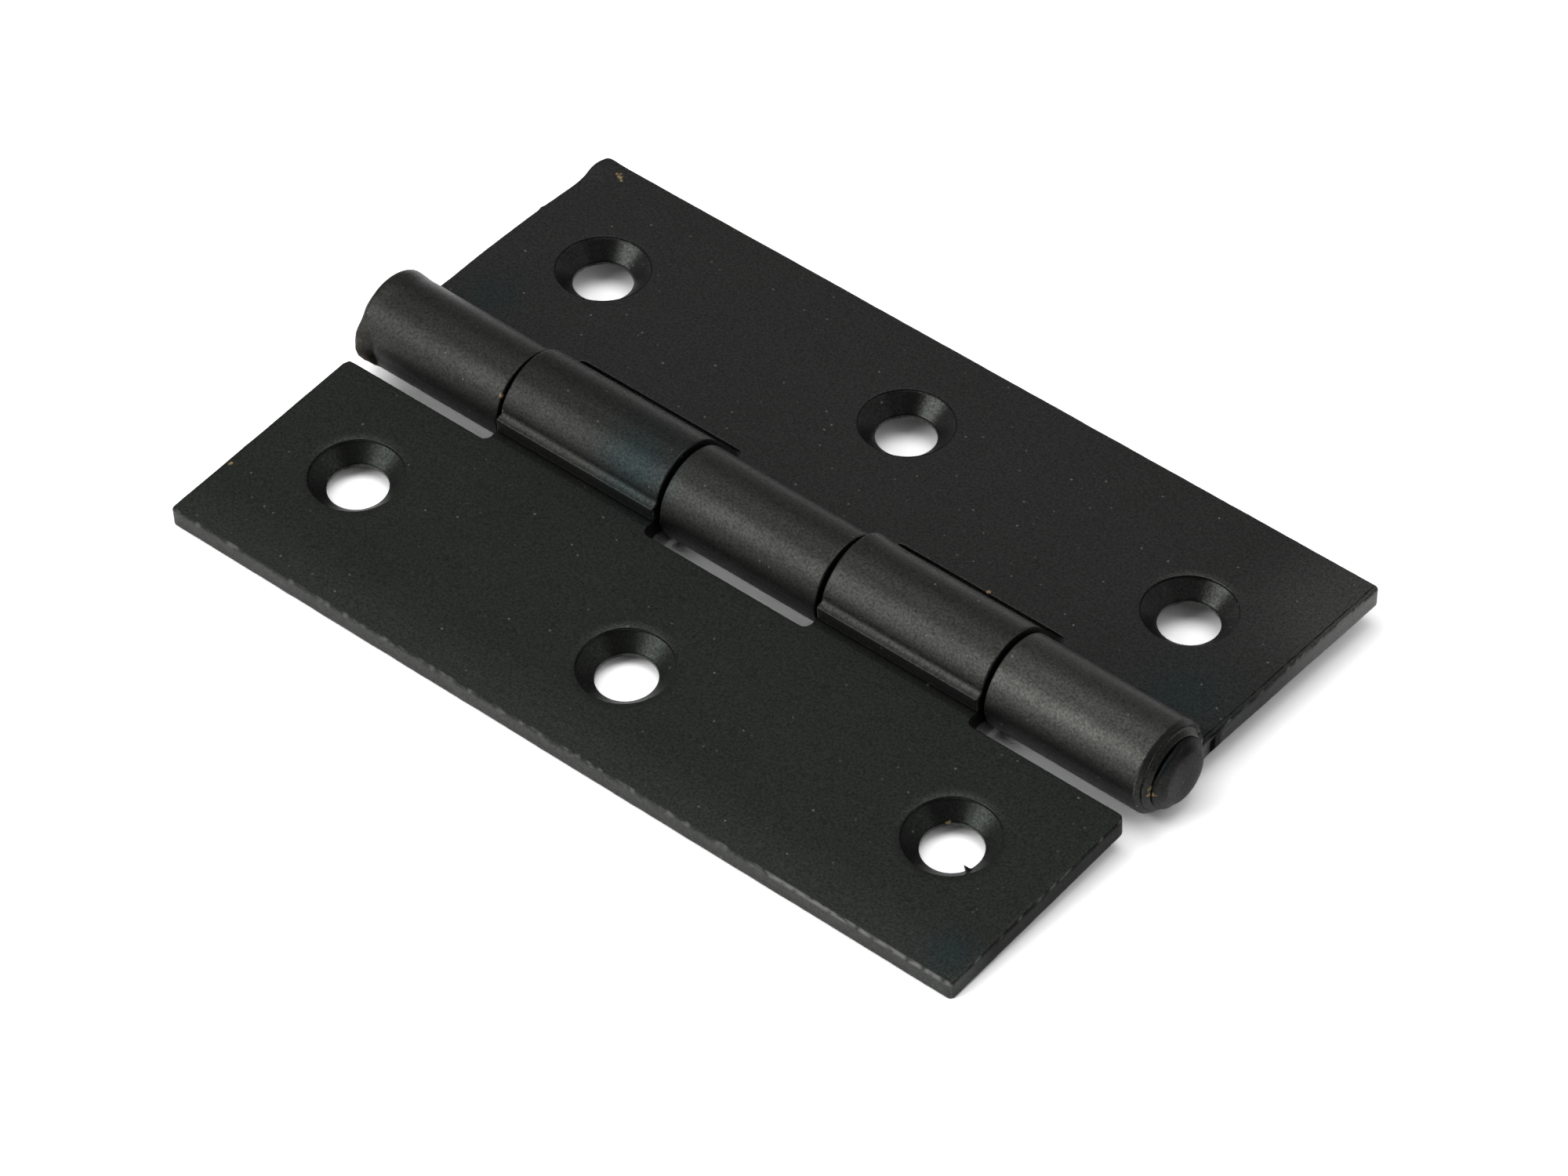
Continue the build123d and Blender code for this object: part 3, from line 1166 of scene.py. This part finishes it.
def on_barrel(x, from_up, radius):
    """A place round the barrel, at an angle from straight up towards the door leaf."""
    angle = math.radians(from_up)
    return at_pin @ Vector((x, -radius * math.sin(angle), radius * math.cos(angle)))


brass_flecks = [
    (on_frame(-36.3, 24.2, face_level), 0.17),
    (on_frame(-36.02, 24.08, face_level), 0.19),
    (on_frame(-35.76, 24.0, face_level), 0.2),
    (on_frame(-35.56, 23.86, face_level), 0.17),
    (on_frame(-36.05, 24.42, face_level), 0.14),
    (on_frame(16.18, 6.02, face_level), 0.2),
    (on_door(-37.56, 19.12, face_level), 0.25),
    (on_door(27.61, 12.81, back_level + 0.35), 0.22),
    (on_barrel(-24.05, 56, knuckle_radius), 0.22),
    (on_barrel(-23.65, 72, knuckle_radius), 0.2),
    (on_barrel(-7.75, 97, knuckle_radius), 0.22),
    (on_barrel(38.4, 80, 3.0), 0.27),
    (on_barrel(38.4, 91, 3.1), 0.22),
]
teal_patches = [
    (on_frame(34.0, 7.0, face_level), 5.0),
    (on_frame(-34.2, 7.1, face_level), 3.2),
    (on_door(36.0, 23.0, face_level), 3.0),
    (on_barrel(-11.0, 45, knuckle_radius), 5.0),
]
pin_flecks = [(on_barrel(38.7, 90, 2.9), 0.2)]
pin_tints = [(on_barrel(38.6, 40, 2.8), 1.0)]
blackened = finish_of(
    "blackened_steel", blackened_base, blackened_roughness, brass_flecks, teal_patches
)
pin_steel = finish_of("pin_steel", pin_base, pin_roughness, pin_flecks, pin_tints)
for piece, material in ((frame_leaf, blackened), (door_leaf, blackened), (pin, pin_steel)):
    piece.data.materials.clear()
    piece.data.materials.append(material)

# Floor: white to the eye, in reflections and through glass, a plain pale grey to the light
floor_half_width = 3000.0
floor_grey = (0.8, 0.8, 0.8, 1)
floor_white = (1.95, 1.95, 1.95, 1)
floor_mesh = bpy.data.meshes.new("floor")
floor_reach = floor_half_width * MM
floor_corners = [
    (floor_reach * x, floor_reach * y, 0) for x, y in ((-1, -1), (1, -1), (1, 1), (-1, 1))
]
floor_mesh.from_pydata(floor_corners, [], [(0, 1, 2, 3)])
floor = bpy.data.objects.new("floor", floor_mesh)
bpy.context.scene.collection.objects.link(floor)
floor_material = bpy.data.materials.new("white_floor")
tree = Tree(floor_material)
path = tree.add("LightPath").outputs
seen = tree.plus(path["Is Camera Ray"], path["Is Glossy Ray"])
seen = tree.plus(seen, path["Is Transmission Ray"])
pale = tree.add("BsdfDiffuse", {"Color": floor_grey})
white = tree.add("BsdfDiffuse", {"Color": floor_white})
surface = tree.add("MixShader", {0: seen, 1: pale.outputs[0], 2: white.outputs[0]})
output = tree.add("OutputMaterial")
tree.links.new(surface.outputs[0], output.inputs["Surface"])
floor_mesh.materials.append(floor_material)

# World: an even surround with a dark place on the side where the photographer stood
surround_level = 0.41
dark_level = 0.02
dark_way = (0.46, -0.55, 0.69)
dark_edge = (0.7, 0.87)
world = bpy.data.worlds.new("studio")
bpy.context.scene.world = world
tree = Tree(world)
direction = tree.add("TexCoord").outputs["Generated"]
to_dark = tree.add("VectorMath", {0: direction, 1: dark_way}, operation="DOT_PRODUCT")
surround = tree.scale(to_dark.outputs["Value"], *dark_edge, surround_level, dark_level)
background = tree.add("Background", {"Strength": surround})
output = tree.add("OutputWorld")
tree.links.new(background.outputs[0], output.inputs["Surface"])


def softbox(name, direction, distance, size, power):
    """A square soft light that faces the hinge from a direction."""
    light = bpy.data.lights.new(name, "AREA")
    light.shape = "SQUARE"
    light.size = size * MM
    light.energy = power
    made = bpy.data.objects.new(name, light)
    bpy.context.scene.collection.objects.link(made)
    away = Vector(direction).normalized()
    made.location = away * distance * MM
    made.rotation_euler = away.to_track_quat("Z", "Y").to_euler()


# Each light's direction, its distance and size in millimetres, and its power in watts
softbox("key_softbox", (-0.46, -0.715, 0.517), 900, 570, 4.0)
softbox("top_softbox", (-0.08, -0.05, 1.0), 2200, 1750, 15.5)
softbox("back_softbox", (0.45, 0.25, 1.0), 2200, 1400, 4.0)
softbox("right_softbox", (0.74, -0.12, 0.66), 2200, 1400, 3.5)

# Camera at the photograph's angle, for a picture of 2000 by 1500
camera_place = (242.81, -289.39, 361.15)
camera_forward = (-0.46207, 0.55393, -0.69257)
camera_roll = math.radians(0.364)
picture_width = 2000
focal_pixels = 8849.9
sensor_width = 36.0
camera_data = bpy.data.cameras.new("camera")
camera_data.sensor_width = sensor_width
camera_data.lens = focal_pixels / picture_width * sensor_width
camera = bpy.data.objects.new("camera", camera_data)
bpy.context.scene.collection.objects.link(camera)
camera.location = Vector(camera_place) * MM
aim = Vector(camera_forward).to_track_quat("-Z", "Y")
camera.rotation_euler = (aim.to_matrix() @ Matrix.Rotation(camera_roll, 3, "Z")).to_euler()
bpy.context.scene.camera = camera
bpy.context.scene.view_settings.view_transform = "Standard"
